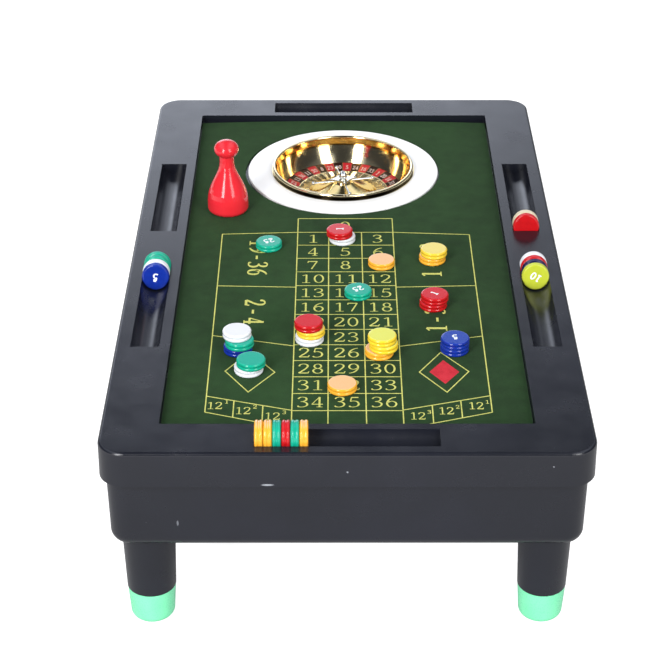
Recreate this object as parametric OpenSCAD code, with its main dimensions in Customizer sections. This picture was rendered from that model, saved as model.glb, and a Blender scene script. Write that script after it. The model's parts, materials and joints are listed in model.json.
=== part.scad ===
// Roulette table case: a tub on four legs under a lift-off tray with six chip
// troughs, a playing mat, a drop-in wheel, a marker pawn and loose chips.
// The origin lies on the floor under the middle of the table; +Y is the wheel's end.

/* [Top tray] */
// Width across the tray's rim
tray_w = 320; // [312:1:350]
// Length of the tray's rim
tray_l = 558; // [550:1:600]
// Height of the skirt that laps over the tub
tray_h = 25.4; // [21:0.2:32]
// Radius of the tray's corners seen from above
tray_corner_r = 18; // [16:0.5:24]
// Radius of the rounded edge around the rim
rim_edge_r = 2.2; // [1:0.1:4]
// Thickness of the rim plate
rim_t = 3; // [2.4:0.1:4]
// Thickness of the skirt
skirt_t = 3; // [2.4:0.1:5]
// How far the skirt leans out at its lower edge
skirt_flare = 0.2; // [0.1:0.1:1.5]
// Gap between the skirt and the tub
skirt_gap = 0.7; // [0.4:0.1:2]

/* [Playing field] */
// Width of the rim at the sides of the recess that holds the mat
side_rim_w = 38; // [37:0.5:42]
// Width of the rim at the ends of the recess
end_rim_w = 35; // [33.5:0.5:40]
// Depth from the rim to the mat's face
field_depth = 5; // [4:0.1:7]
// Radius of the recess's corners
field_corner_r = 1.5; // [1:0.5:4]
// Thickness of the recess's floor
floor_t = 2.5; // [2:0.1:4]
// Thickness of the wall around the recess
field_wall_t = 3; // [2:0.1:4]
// Thickness of the mat
mat_t = 1.5; // [1:0.1:2.5]
// Gap between the mat and the recess's wall
mat_gap = 0.5; // [0.3:0.1:1.5]
// How much shorter the mat is at its back corners than at the middle of its back edge
mat_bow = 4.5; // [1:0.5:8]

/* [Chip troughs] */
// Length of each trough
trough_l = 119.5; // [100:0.5:126]
// Gap all round between a chip and its trough
trough_gap = 0.3; // [0.3:0.05:0.8]
// Height of a standing chip's centre above the rim
trough_rise = 2; // [1:0.1:3]
// Thickness of a trough's shell
trough_wall_t = 1.5; // [1.2:0.1:2]
// Distance from the tray's side to a side trough's middle line
side_trough_inset = 20.7; // [19:0.1:24]
// Distance from the tray's end to an end trough's middle line
end_trough_inset = 18.6; // [18:0.1:21]
// Gap between the two troughs of one side
trough_spacing = 54; // [20:1:80]

/* [Base tub] */
// Height of the tub from its underside to the seat of the tray
tub_h = 61.5; // [50:0.5:90]
// Height from the tray's seat on the tub to the rim
seat_drop = 16; // [13:0.5:20]
// Thickness of the tub's walls and floor
tub_wall_t = 3; // [2:0.1:4]
// Radius of the tub's rounded lower edge
tub_edge_r = 9; // [5:0.5:10]
// How far the tub's wall leans in towards its floor
tub_draft = 1; // [0.4:0.1:1.8]

/* [Legs] */
// Height of the tub's underside above the floor
leg_h = 70.5; // [50:0.5:110]
// Distance from the tub's wall to a leg's axis
leg_inset = 24.6; // [23:0.1:40]
// Diameter of a leg under the tub
leg_top_d = 35.6; // [33.4:0.2:38]
// Diameter of a leg just above its foot cap
leg_cap_d = 32.8; // [32:0.2:33.4]
// Wall of a leg's tube
leg_wall_t = 2.5; // [2:0.1:4]
// Diameter of the spigot on top of a leg
spigot_d = 24; // [18:0.5:26]
// Length of the spigot
spigot_l = 15; // [10:0.5:24]
// Gap around the spigot in its socket
socket_gap = 0.3; // [0.2:0.05:0.6]
// Wall of a socket in the tub
socket_wall_t = 2.5; // [2:0.1:4]

/* [Foot caps] */
// Height of a foot cap
cap_h = 24.8; // [18:0.2:32]
// Diameter of a foot cap at its mouth
cap_d = 32.4; // [30:0.2:34]
// Wall of a foot cap
cap_wall_t = 1; // [0.8:0.1:2]
// Thickness of a foot cap's sole
cap_sole_t = 2; // [1.5:0.1:4]
// Radius of the rounded edge around the sole
cap_edge_r = 5; // [3:0.5:6]
// How much smaller in radius a cap is at its sole than at its mouth
cap_taper = 1.3; // [0.6:0.1:3]
// Gap between a leg and its cap
cap_gap = 0.2; // [0.1:0.05:0.4]
// Gap between a cap's mouth and the leg's shoulder above it
shoulder_gap = 0.4; // [0.2:0.1:1]

/* [Wheel case] */
// Distance from the tray's back end to the wheel's axis
wheel_inset = 134.5; // [129:0.5:141]
// Sideways offset of the wheel's axis
wheel_x = -1; // [-4:0.5:4]
// Diameter of the white trim ring
trim_d = 155.5; // [148:0.5:158]
// Thickness of the trim ring
trim_t = 2.5; // [2:0.1:4]
// Radius of the trim ring's rounded outer edge
trim_edge_r = 0.8; // [0.4:0.1:1]
// Gap around the trim ring in the mat
trim_gap = 1.6; // [0.8:0.05:2]
// Sideways offset of the mat's round hole from the wheel
hole_shift = -0.6; // [-0.7:0.1:0.7]
// Diameter across the bowl's lip
bowl_d = 115; // [110:0.5:120]
// Height of the bowl's lip above the trim ring
lip_h = 4.8; // [3:0.1:7]
// Thickness of the bowl's metal
bowl_t = 1.2; // [0.9:0.1:1.8]
// Diameter of the rolled bead that forms the lip
lip_d = 2.6; // [2.2:0.1:3.6]
// How far the bowl's seat bead laps over the trim ring
seat_lap = 0.8; // [0.6:0.1:2]
// Thickness of the seat bead
seat_bead_t = 0.8; // [0.5:0.1:1.5]
// Height of the upright band below the lip
band_h = 6.8; // [5.8:0.1:8]
// How much the band narrows in radius towards its foot
band_taper = 0.8; // [0.4:0.1:1.2]
// Depth from the lip to the outer edge of the numbers
number_drop = 21.6; // [18:0.2:25]
// Gap around the bowl in the tray's floor
bowl_hole_gap = 2; // [1:0.1:4]
// Gap between the bowl's wall and the trim ring
trim_fit = 0.1; // [0.05:0.05:0.3]

/* [Wheel rotor] */
// Diameter of the number ring
number_d = 95.6; // [92:0.2:98]
// Radial width of the printed numbers
number_w = 10.5; // [8:0.1:12]
// How far the numbers slope down towards the pockets
number_slope = 2.7; // [1.5:0.1:4]
// Radial width of the pockets
pocket_w = 9.3; // [8:0.1:11]
// Depth of the pockets below the numbers
pocket_depth = 1.6; // [1.2:0.1:2.4]
// Number of pockets
pocket_count = 37; // [36:1:38]
// Thickness of a fret between two pockets
fret_t = 0.6; // [0.4:0.05:1]
// Height of a fret above the pocket's floor
fret_h = 2.2; // [1.6:0.1:3]
// Width of the thin ring that ties the frets together
fret_ring_w = 0.7; // [0.5:0.1:1.2]
// Thickness of the number ring's disc under the pockets
disc_t = 1.5; // [1.2:0.1:2.5]
// Width of the disc that the cone sits on
cone_seat_w = 3; // [2:0.1:4]
// Thickness of the number ring at its outer edge
ring_edge_t = 1.8; // [1.2:0.1:2.5]
// Gap between the number ring and the bowl
rotor_gap = 0.8; // [0.5:0.1:1.5]
// Height of the cone above the pockets' floor
cone_h = 10; // [7:0.1:13]
// Diameter of the cone's flat top
cone_top_d = 16; // [15:0.5:20]
// Thickness of the cone's wall
cone_wall_t = 1.5; // [1.2:0.1:2.5]

/* [Turret] */
// Diameter of the turret's column
column_d = 8; // [7:0.5:10]
// Height of the turret's column
column_h = 1.8; // [1.6:0.1:4]
// Side of the four-pointed plate
star_w = 17; // [14:0.5:20]
// Thickness of the four-pointed plate
star_t = 1.4; // [1:0.1:2.5]
// Radius of the hollows in the plate's sides
star_hollow_r = 16; // [14:0.5:24]
// Depth of the hollows in the plate's sides
star_hollow = 2.6; // [1.5:0.1:3.5]
// Turn of the turret from the table's axes
turret_turn = 12; // [0:1:89]
// Reach of the arms from the axis to the middle of a knob
arm_reach = 25; // [20:0.5:27]
// Diameter of an arm
arm_d = 1.8; // [1.4:0.1:3]
// Diameter of the collar that holds the arms
collar_d = 12; // [10.5:0.5:14]
// Diameter of the knob at the end of an arm
knob_d = 3.4; // [2.6:0.2:4.4]
// Diameter of the finial ball
finial_d = 7.2; // [6:0.2:9]
// Height of the finial ball's centre above the plate
finial_rise = 2.7; // [1:0.1:2.8]
// Diameter of the roulette ball
ball_d = 4.4; // [3.6:0.1:4.6]
// Gap kept under the roulette ball
ball_gap = 0.1; // [0.05:0.05:0.3]

/* [Spindle] */
// Diameter of the spindle
spindle_d = 5; // [4:0.1:5.6]
// Radial clearance of the spindle in its bush
bush_play = 0.05; // [0.02:0.01:0.1]
// Diameter of the bush's barrel
bush_d = 10; // [9:0.5:13]
// Diameter of the bush's flange
bush_flange_d = 18; // [15:0.5:24]
// Thickness of the bush's flange
bush_flange_t = 2.1; // [1.5:0.1:3]
// Length of the bush's barrel below the flange
bush_l = 7; // [5:0.5:9]
// Length of spindle below the retaining clip
spindle_tail = 2; // [1:0.1:4]
// Diameter of the retaining clip
clip_d = 10; // [8:0.5:12]
// Thickness of the retaining clip
clip_t = 0.8; // [0.6:0.1:1.2]
// Depth of the clip's groove in the spindle
groove_depth = 0.6; // [0.4:0.1:0.9]
// Running gap at both faces of the clip
clip_gap = 0.1; // [0.05:0.05:0.2]

/* [Chips and pawn] */
// Diameter of a chip
chip_d = 20; // [18:0.1:20.4]
// Thickness of a chip
chip_t = 5.5; // [4:0.1:5.8]
// Depth of the groove around a chip's edge
chip_groove = 0.45; // [0.2:0.05:0.8]
// Gap between standing chips
rack_gap = 0.3; // [0.2:0.05:1]
// Lean of the chips that stand in the side troughs
rack_lean = 8; // [0:1:9]
// Height of the pawn
pawn_h = 60; // [56:1:70]
// Diameter of the pawn's head
pawn_head_d = 19.1; // [15:0.1:22]
// Height of the pawn's flattened head
pawn_head_h = 14.2; // [10:0.2:18]
// Diameter of the pawn's neck
pawn_neck_d = 11.2; // [8:0.1:14]
// Diameter of the pawn's base
pawn_base_d = 32; // [26:0.5:36]
// Radius of the rounded edge under the pawn's base
pawn_edge_r = 4; // [1:0.5:5.5]
// Height of the pawn's straight base
pawn_base_h = 7; // [6:0.5:16]
// Height of the pawn's neck
pawn_neck_h = 42; // [34:0.5:44]
// Distance from the recess's left side to the pawn's axis
pawn_inset_x = 30.1; // [22:0.1:34]
// Distance from the recess's back end to the pawn's axis
pawn_inset_y = 171; // [165:1:190]

/* [Hidden] */
$fn = 96;
SEAM = 0.01;        // overlap that joins solids of one piece
CUT = 1;            // how far a cut runs past the face that it opens
BUSH_FIT = 0.02;    // radial fit of the bush in the bowl
ROTOR_FIT = 0.05;   // radial fit between the rotor's own pieces
WALL_LEAN = 0.67;   // share of the bowl wall's run inwards taken evenly down the wall
CONE_FOOT = 1;      // height of the cone's upright foot
CONE_POWER = 1.7;   // how late the cone's face turns steep
FRET_INSET = 0.5;   // gap between the cone's foot and the frets
PAWN_POWER = 1.2;   // how late the pawn's side turns in
BOSS_INSET = 2;     // how far the cone's boss stays inside the bush's flange
LIP_STEP = 0.3;     // how far the lip stands out from the bowl's wall
EDGE_SPARE = 0.2;   // thickness that a rounded edge leaves of its wall

// heights above the floor
tub_top_z = leg_h + tub_h;
rim_z = tub_top_z + seat_drop;
skirt_z = rim_z - tray_h;
mat_z = rim_z - field_depth;
floor_z = mat_z - mat_t;
trough_z = rim_z + trough_rise;

// plan sizes
tub_inset = skirt_t + skirt_gap;
tub_w = tray_w - 2 * tub_inset;
tub_l = tray_l - 2 * tub_inset;
tub_corner_r = tray_corner_r - tub_inset;
leg_x = tub_w / 2 - leg_inset;
leg_y = tub_l / 2 - leg_inset;
field_w = tray_w - 2 * side_rim_w;
field_l = tray_l - 2 * end_rim_w;
rim_edge = min(rim_edge_r, skirt_t - EDGE_SPARE);

// legs and foot caps
leg_mouth_r = leg_cap_d / 2;
cap_mouth_r = cap_d / 2;
leg_step_r = cap_mouth_r - cap_wall_t - cap_gap;
cap_sole_r = cap_mouth_r - cap_taper;
leg_foot_r = cap_sole_r - cap_wall_t - cap_gap;
leg_end_r = leg_foot_r - cap_edge_r / 2;

// troughs: [x, y, turn of the trough's length from the X axis]
trough_r = chip_d / 2 + trough_gap;
trough_shell_r = trough_r + trough_wall_t;
side_x = tray_w / 2 - side_trough_inset;
side_y = (trough_spacing + trough_l) / 2;
end_y = tray_l / 2 - end_trough_inset;
TROUGHS = [
    [0, -end_y, 0], [0, end_y, 0],
    [-side_x, -side_y, 90], [-side_x, side_y, 90],
    [side_x, -side_y, 90], [side_x, side_y, 90]
];

// wheel
wheel_y = tray_l / 2 - wheel_inset;
trim_z = floor_z + trim_t;
trim_bore_r = bowl_d / 2 + trim_fit;
lip_z = trim_z + lip_h;
number_z = lip_z - number_drop;
number_in_r = number_d / 2 - number_w;
pocket_z = number_z - number_slope - pocket_depth;
pocket_in_r = number_in_r - pocket_w;
rotor_z = pocket_z - disc_t;
bowl_floor_z = rotor_z - bush_flange_t;
well_r = number_d / 2 + rotor_gap;
band_r = bowl_d / 2 - LIP_STEP - bowl_t;
cone_z = pocket_z + cone_h;
star_z = cone_z + column_h;
finial_z = star_z + star_t;
spindle_r = spindle_d / 2;
clip_z = bowl_floor_z - bush_l - clip_gap - clip_t;
spindle_z = clip_z - clip_gap - spindle_tail;
spindle_top_z = cone_z + column_h / 2;
disc_in_r = pocket_in_r - cone_seat_w;
fret_in_r = pocket_in_r + FRET_INSET;
ball_r = ball_d / 2;
ball_orbit = number_in_r - fret_ring_w - ball_r - 1;

chip_bead_r = chip_t / 4;

// loose chips, bottom to top: [name, distance from the recess's left side, what its
// distance along the table is taken from, that distance, [[colour, shift in x, shift in y], ...]]
STACKS = [
    ["stack_01", 64, "wheel", -134.5, [["teal", 0, 0]]],
    ["stack_02", 119, "wheel", -124.5, [["white", 0.9, 0.6], ["red", -1.2, -0.9]]],
    ["stack_03", 149, "wheel", -163.5, [["orange", 0, 0]]],
    ["stack_04", 188, "wheel", -156.5, [["orange", -0.6, 0.3], ["yellow", 0.3, -0.3]]],
    ["stack_05", 131, "middle", -65, [["teal", 0, 0]]],
    ["stack_06", 185.5, "middle", -81.5, [["red", -0.5, 0], ["red", 0.4, 0]]],
    ["stack_07", 97, "front", 114, [["white", -0.6, 0], ["yellow", 0.3, 0], ["red", -1.2, 0]]],
    ["stack_08", 47, "front", 100, [["blue", 0, 0], ["teal", 1.3, -1.3], ["white", -0.5, 1.5]]],
    ["stack_09", 56, "front", 73, [["white", -0.6, 0.3], ["teal", 1.1, -0.8]]],
    ["stack_10", 146.5, "front", 95, [["orange", -1.8, 0.5], ["lime", 1.2, -0.5], ["lime", 0.1, 0]]],
    ["stack_11", 197, "front", 100.5, [["blue", 0, 0], ["blue", 0.2, 0]]],
    ["stack_12", 119, "front", 50, [["orange", 0, 0]]]
];

// standing chips, first one against the trough's end:
// [name, trough number, end of the trough they stand at, lean, colours]
RACKS = [
    ["rack_front", 0, -1, 0, ["orange", "orange", "teal", "red", "teal", "orange"]],
    ["rack_left", 2, 1, 1, ["teal", "teal", "white", "blue"]],
    ["rack_back_right", 5, -1, 1, ["red", "beige"]],
    ["rack_right", 4, 1, 1, ["white", "red", "navy", "lime"]]
];

PAINT = [
    ["teal", "#14a088"], ["white", "#eef1f4"], ["red", "#d8242c"], ["orange", "#f5a52e"],
    ["yellow", "#f2d23a"], ["lime", "#c9d63a"], ["blue", "#1c3fbf"], ["navy", "#1d2450"],
    ["beige", "#e6d3ae"]
];

LEGS = ["front_left", "front_right", "back_left", "back_right"];
function leg_place(l) = [
    l == "front_left" || l == "back_left" ? -leg_x : leg_x,
    l == "front_left" || l == "front_right" ? -leg_y : leg_y
];

// each colour of a list once, in the order it first comes
function once(list) = [for (i = [0:len(list) - 1])
    if (len([for (j = [0:1:i - 1]) if (list[j] == list[i]) j]) == 0) list[i]];
function stack_colours(s) = once([for (c = s[4]) c[0]]);
function stack_place(s) = [s[1] - field_w / 2,
    s[3] + (s[2] == "wheel" ? wheel_y : s[2] == "front" ? -field_l / 2 : 0)];
function paint(colour) = [for (p = PAINT) if (p[0] == colour) p[1]][0];

// ---- shared shapes ----

// a rectangle with round corners, centred
module round_rect(w, l, r) {
    square([w - 2 * r, l], center = true);
    square([w, l - 2 * r], center = true);
    for (x = [-1, 1]) for (y = [-1, 1])
        translate([x * (w / 2 - r), y * (l / 2 - r)]) circle(r);
}

// carries a wall's section round a rectangle with corners of radius r:
// the section's x is the distance out from a corner's axis
module carry_round(w, l, r) {
    straight_x = w - 2 * r;
    straight_y = l - 2 * r;
    for (s = [0, 1]) rotate(180 * s) {
        translate([straight_x / 2, straight_y / 2, 0]) rotate_extrude(angle = 90) children();
        translate([-straight_x / 2, straight_y / 2, 0]) rotate(90)
            rotate_extrude(angle = 90) children();
        translate([straight_x / 2, straight_y / 2, 0]) rotate([90, 0, 0])
            linear_extrude(straight_y) children();
        translate([-straight_x / 2, straight_y / 2, 0]) rotate([90, 0, 90])
            linear_extrude(straight_x) children();
    }
}

// ---- tub, tray and mat ----

// section of the tub's side from its corner's axis outwards, with a rounded foot
module tub_section(r, z_low, z_top, edge) {
    foot = r - tub_draft;
    polygon([[0, z_low], [foot - edge, z_low], [foot - edge, z_low + edge],
             [foot, z_low + edge], [r, z_top], [0, z_top]]);
    intersection() {
        translate([foot - edge, z_low + edge]) circle(edge);
        translate([foot - edge, z_low]) square([edge, edge]);
    }
}

// the tub's outer form, or its hollow when it is inset by the wall
module tub_form(inset, z_low, z_top, edge) {
    r = tub_corner_r - inset;
    carry_round(tub_w - 2 * inset, tub_l - 2 * inset, r)
        tub_section(r, z_low, z_top, min(edge, r - tub_draft - SEAM));
    translate([-tub_w / 2 + tub_corner_r, -tub_l / 2 + tub_corner_r, z_low])
        cube([tub_w - 2 * tub_corner_r, tub_l - 2 * tub_corner_r, z_top - z_low]);
}

module base_tub() {
    socket_r = spigot_d / 2 + socket_gap;
    inner_floor_z = leg_h + tub_wall_t;
    color("#2b2c31") difference() {
        union() {
            difference() {
                tub_form(0, leg_h, tub_top_z, tub_edge_r);
                tub_form(tub_wall_t, inner_floor_z, tub_top_z + CUT, tub_edge_r - tub_wall_t);
            }
            for (l = LEGS) translate(leg_place(l)) translate([0, 0, inner_floor_z - SEAM])
                cylinder(r = socket_r + socket_wall_t, h = spigot_l);
        }
        for (l = LEGS) translate(leg_place(l)) translate([0, 0, leg_h - CUT])
            cylinder(r = socket_r, h = spigot_l + socket_gap + CUT);
    }
}

// section of the tray's edge: the rim plate, its rounded edge and the skirt
module tray_section() {
    r = tray_corner_r;
    translate([0, rim_z - rim_t]) square([r - rim_edge, rim_t]);
    polygon([[r - skirt_t, skirt_z], [r + skirt_flare, skirt_z], [r, rim_z - rim_edge],
             [r - rim_edge, rim_z - rim_edge], [r - rim_edge, rim_z - SEAM], [r - skirt_t, rim_z - SEAM]]);
    intersection() {
        translate([r - rim_edge, rim_z - rim_edge]) circle(rim_edge);
        translate([r - rim_edge, rim_z - rim_edge]) square(rim_edge);
    }
}

module trough_rods(r, l) {
    for (t = TROUGHS) translate([t[0], t[1], trough_z]) rotate([0, 90, t[2]])
        cylinder(r = r, h = l, center = true);
}

// the troughs' shells, kept below the face of the rim
module trough_shells() {
    intersection() {
        trough_rods(trough_shell_r, trough_l + 2 * trough_wall_t);
        translate([-tray_w / 2, -tray_l / 2, tub_top_z]) cube([tray_w, tray_l, seat_drop - rim_t / 2]);
    }
}

module at_wheel() {
    translate([wheel_x, wheel_y, 0]) children();
}

module top_tray() {
    field_low_z = floor_z - floor_t;
    color("#26272c") difference() {
        union() {
            carry_round(tray_w, tray_l, tray_corner_r) tray_section();
            translate([-tray_w / 2 + tray_corner_r, -tray_l / 2 + tray_corner_r, rim_z - rim_t])
                cube([tray_w - 2 * tray_corner_r, tray_l - 2 * tray_corner_r, rim_t]);
            carry_round(tub_w, tub_l, tub_corner_r) translate([tub_corner_r - tub_wall_t, tub_top_z])
                square([tub_wall_t, seat_drop - rim_t / 2]);
            translate([0, 0, field_low_z]) linear_extrude(rim_z - rim_t / 2 - field_low_z)
                round_rect(field_w + 2 * field_wall_t, field_l + 2 * field_wall_t,
                           field_corner_r + field_wall_t);
            trough_shells();
        }
        translate([0, 0, floor_z]) linear_extrude(field_depth + mat_t + CUT)
            round_rect(field_w, field_l, field_corner_r);
        at_wheel() translate([0, 0, field_low_z - CUT])
            cylinder(r = bowl_d / 2 + bowl_hole_gap, h = floor_t + 2 * CUT);
        trough_rods(trough_r, trough_l);
    }
}

// the mat's back edge is bowed, short of the recess at its two corners
module playing_mat() {
    back_y = field_l / 2 - mat_gap;
    bow_r = (pow(field_w / 2, 2) + pow(mat_bow, 2)) / (2 * mat_bow);
    color("#1f4a26") translate([0, 0, floor_z]) linear_extrude(mat_t) difference() {
        intersection() {
            round_rect(field_w - 2 * mat_gap, field_l - 2 * mat_gap, max(field_corner_r - mat_gap, SEAM));
            translate([0, back_y - bow_r]) circle(bow_r);
        }
        translate([wheel_x + hole_shift, wheel_y]) circle(trim_d / 2 + trim_gap);
    }
}

// ---- legs and foot caps ----

// a tapered tube with a shoulder above its cap, closed by a plug with a spigot
module leg(l) {
    top_r = leg_top_d / 2;
    plug_z = leg_h - leg_wall_t;
    shoulder_z = cap_h + shoulder_gap;
    color("#2b2c31") translate(leg_place(l)) rotate_extrude()
        polygon([[leg_end_r - leg_wall_t, cap_sole_t], [leg_end_r, cap_sole_t], [leg_foot_r, cap_edge_r],
                 [leg_step_r, shoulder_z], [leg_mouth_r, shoulder_z], [top_r, leg_h],
                 [spigot_d / 2, leg_h], [spigot_d / 2, leg_h + spigot_l], [0, leg_h + spigot_l],
                 [0, plug_z], [top_r - leg_wall_t, plug_z], [leg_step_r - leg_wall_t, shoulder_z],
                 [leg_foot_r - leg_wall_t, cap_edge_r]]);
}

module foot_cap(l) {
    edge = min(cap_edge_r, cap_sole_r - SEAM);
    color("#a6f7d6") translate(leg_place(l)) rotate_extrude() difference() {
        union() {
            polygon([[0, 0], [cap_sole_r - edge, 0], [cap_sole_r - edge, edge],
                     [cap_sole_r, edge], [cap_mouth_r, cap_h], [0, cap_h]]);
            intersection() {
                translate([cap_sole_r - edge, edge]) circle(edge);
                translate([cap_sole_r - edge, 0]) square(edge);
            }
        }
        polygon([[0, cap_sole_t], [leg_end_r + cap_gap, cap_sole_t], [leg_foot_r + cap_gap, cap_edge_r],
                 [leg_step_r + cap_gap, cap_h], [leg_step_r + cap_gap, cap_h + CUT], [0, cap_h + CUT]]);
    }
}

// ---- wheel case ----

module trim_ring() {
    r = trim_d / 2;
    color("#f6f7f7") at_wheel() translate([0, 0, floor_z]) rotate_extrude() {
        translate([trim_bore_r, 0]) square([r - trim_edge_r - trim_bore_r, trim_t]);
        translate([trim_bore_r, 0]) square([r - trim_bore_r, trim_t - trim_edge_r]);
        translate([r - trim_edge_r, trim_t - trim_edge_r]) circle(trim_edge_r);
    }
}

// below its band the bowl's wall runs inwards, steeper at the band than by the numbers;
// out is how far the curve lies outside the inner face
function bowl_curve(out) = [for (s = [0:0.1:1])
    [band_r - band_taper + out
     - (band_r - band_taper - well_r) * (WALL_LEAN * s + (1 - WALL_LEAN) * s * s),
     lip_z - band_h - (lip_z - band_h - number_z + out) * s]];
function reversed(list) = [for (i = [len(list) - 1:-1:0]) list[i]];

module wheel_bowl() {
    lip_r = lip_d / 2;
    wall_r = band_r + bowl_t;
    hole_r = bush_d / 2 + BUSH_FIT;
    low_z = bowl_floor_z - bowl_t;
    top_z = lip_z - lip_r;
    wall = concat([[wall_r, top_z]], bowl_curve(bowl_t),
                  [[well_r + bowl_t, low_z], [hole_r, low_z], [hole_r, bowl_floor_z], [well_r, bowl_floor_z]],
                  reversed(bowl_curve(0)), [[band_r, top_z]]);
    color("#d9b14a") at_wheel() {
        rotate_extrude() polygon(wall);
        rotate_extrude() translate([bowl_d / 2 - lip_r, lip_z - lip_r]) circle(lip_r);
        rotate_extrude() translate([wall_r - bowl_t, trim_z])
            square([trim_bore_r + seat_lap - wall_r + bowl_t, seat_bead_t]);
    }
}

module spindle_bush() {
    bore_r = spindle_r + bush_play;
    color("#b98a3c") at_wheel() rotate_extrude() {
        translate([bore_r, bowl_floor_z - bush_l]) square([bush_d / 2 - bore_r, bush_l + SEAM]);
        translate([bore_r, bowl_floor_z]) square([bush_flange_d / 2 - bore_r, bush_flange_t]);
    }
}

// ---- rotor ----

module number_ring() {
    color("#8c1c22") at_wheel() rotate_extrude()
        polygon([[disc_in_r, rotor_z], [number_in_r, rotor_z], [number_d / 2, number_z - ring_edge_t],
                 [number_d / 2, number_z], [number_in_r, number_z - number_slope],
                 [number_in_r, pocket_z], [disc_in_r, pocket_z]]);
}

module pocket_frets() {
    ring_r = number_in_r - 0.1;
    color("#c9ccd0") at_wheel() translate([0, 0, pocket_z]) {
        rotate_extrude() translate([ring_r - fret_ring_w, 0]) square([fret_ring_w, fret_h]);
        for (i = [0:pocket_count - 1]) rotate((i + 0.5) * 360 / pocket_count - 90)
            translate([fret_in_r, -fret_t / 2, 0])
                cube([ring_r - fret_ring_w / 2 - fret_in_r, fret_t, fret_h - SEAM]);
    }
}

// the cone's face rises slowly by the pockets and steeply by the turret
function cone_curve(low) = [for (s = [0:0.125:1])
    [pocket_in_r + (cone_top_d / 2 - pocket_in_r) * s,
     pocket_z + CONE_FOOT + (cone_h - CONE_FOOT) * pow(s, CONE_POWER) - low]];

module rotor_cone() {
    bore_r = spindle_r + ROTOR_FIT;
    boss_r = bush_flange_d / 2 - BOSS_INSET;
    plug_r = disc_in_r - ROTOR_FIT;
    top_r = cone_top_d / 2;
    hollow = [for (p = cone_curve(cone_wall_t)) if (p[0] < plug_r - cone_wall_t && p[0] > boss_r) p];
    color("#d9b14a") at_wheel() rotate_extrude()
        polygon(concat([[bore_r, rotor_z], [boss_r, rotor_z], [boss_r, hollow[len(hollow) - 1][1]]],
                       reversed(hollow),
                       [[hollow[0][0], rotor_z], [plug_r, rotor_z], [plug_r, pocket_z],
                        [pocket_in_r, pocket_z]],
                       cone_curve(0), [[bore_r, cone_z]]));
}

module wheel_spindle() {
    groove_r = spindle_r - groove_depth;
    groove_top_z = clip_z + clip_t + clip_gap;
    color("#b9bcc1") at_wheel() rotate_extrude()
        polygon([[0, spindle_z], [spindle_r, spindle_z], [spindle_r, clip_z], [groove_r, clip_z],
                 [groove_r, groove_top_z], [spindle_r, groove_top_z],
                 [spindle_r, spindle_top_z], [0, spindle_top_z]]);
}

module retaining_clip() {
    inner_r = spindle_r - groove_depth + ROTOR_FIT;
    color("#8f9297") at_wheel() translate([0, 0, clip_z]) linear_extrude(clip_t) difference() {
        circle(clip_d / 2);
        circle(inner_r);
        translate([-inner_r, -clip_d]) square([2 * inner_r, clip_d]);
    }
}

// ---- turret ----

module turret_hub() {
    column_r = column_d / 2;
    hollow_x = star_w / 2 - star_hollow + star_hollow_r;
    color("#dfe2e6") at_wheel() {
        rotate_extrude() {
            translate([spindle_r + ROTOR_FIT, cone_z])
                square([column_r - spindle_r - ROTOR_FIT, column_h + SEAM]);
            translate([0, spindle_top_z]) square([column_r, star_z + SEAM - spindle_top_z]);
        }
        translate([0, 0, star_z]) rotate(turret_turn + 45) linear_extrude(star_t) difference() {
            square(star_w, center = true);
            for (i = [0:3]) rotate(90 * i) translate([hollow_x, 0]) circle(star_hollow_r);
        }
    }
}

module turret_arms() {
    collar_r = collar_d / 2;
    bore_r = column_d / 2 + ROTOR_FIT;
    arm_z = cone_z + column_h / 2;
    color("#dfe2e6") at_wheel() {
        translate([0, 0, cone_z]) linear_extrude(column_h) difference() {
            circle(collar_r);
            circle(bore_r);
        }
        for (i = [0:3]) rotate(turret_turn + 90 * i) translate([0, 0, arm_z]) {
            translate([(bore_r + collar_r) / 2, 0, 0]) rotate([0, 90, 0])
                cylinder(d = min(arm_d, column_h - 2 * SEAM), h = arm_reach - (bore_r + collar_r) / 2);
            translate([arm_reach, 0, 0]) sphere(d = knob_d);
        }
    }
}

module turret_finial() {
    r = finial_d / 2;
    color("#e6e8ec") at_wheel() translate([0, 0, finial_z]) intersection() {
        translate([0, 0, finial_rise]) sphere(r);
        cylinder(r = finial_d, h = finial_d);
    }
}

// ---- ball, pawn and chips ----

module roulette_ball() {
    color("#f4f1e6") at_wheel() translate([0, -ball_orbit, pocket_z + ball_gap + ball_r]) sphere(ball_r);
}

// from its base the pawn narrows along half a cosine wave to the neck, under a flattened ball
module marker_pawn() {
    base_r = pawn_base_d / 2;
    neck_r = pawn_neck_d / 2;
    head_r = pawn_head_d / 2;
    flat_r = pawn_head_h / 2;
    neck_turn = asin(neck_r / head_r);
    body = [for (s = [0:0.1:1])
        [neck_r + (base_r - neck_r) * (1 + cos(180 * pow(s, PAWN_POWER))) / 2,
         pawn_base_h + (pawn_neck_h - pawn_base_h) * s]];
    head = [for (s = [0:0.0625:0.9375])
        [head_r * sin(neck_turn + (180 - neck_turn) * s),
         pawn_h - flat_r - flat_r * cos(neck_turn + (180 - neck_turn) * s)]];
    color("#d3121c") translate([pawn_inset_x - field_w / 2, field_l / 2 - pawn_inset_y, mat_z])
        rotate_extrude() {
            polygon(concat([[0, 0], [base_r - pawn_edge_r, 0], [base_r - pawn_edge_r, pawn_edge_r],
                            [base_r, pawn_edge_r]], body, head, [[0, pawn_h]]));
            intersection() {
                translate([base_r - pawn_edge_r, pawn_edge_r]) circle(pawn_edge_r);
                translate([base_r - pawn_edge_r, 0]) square(pawn_edge_r);
            }
        }
}

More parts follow.
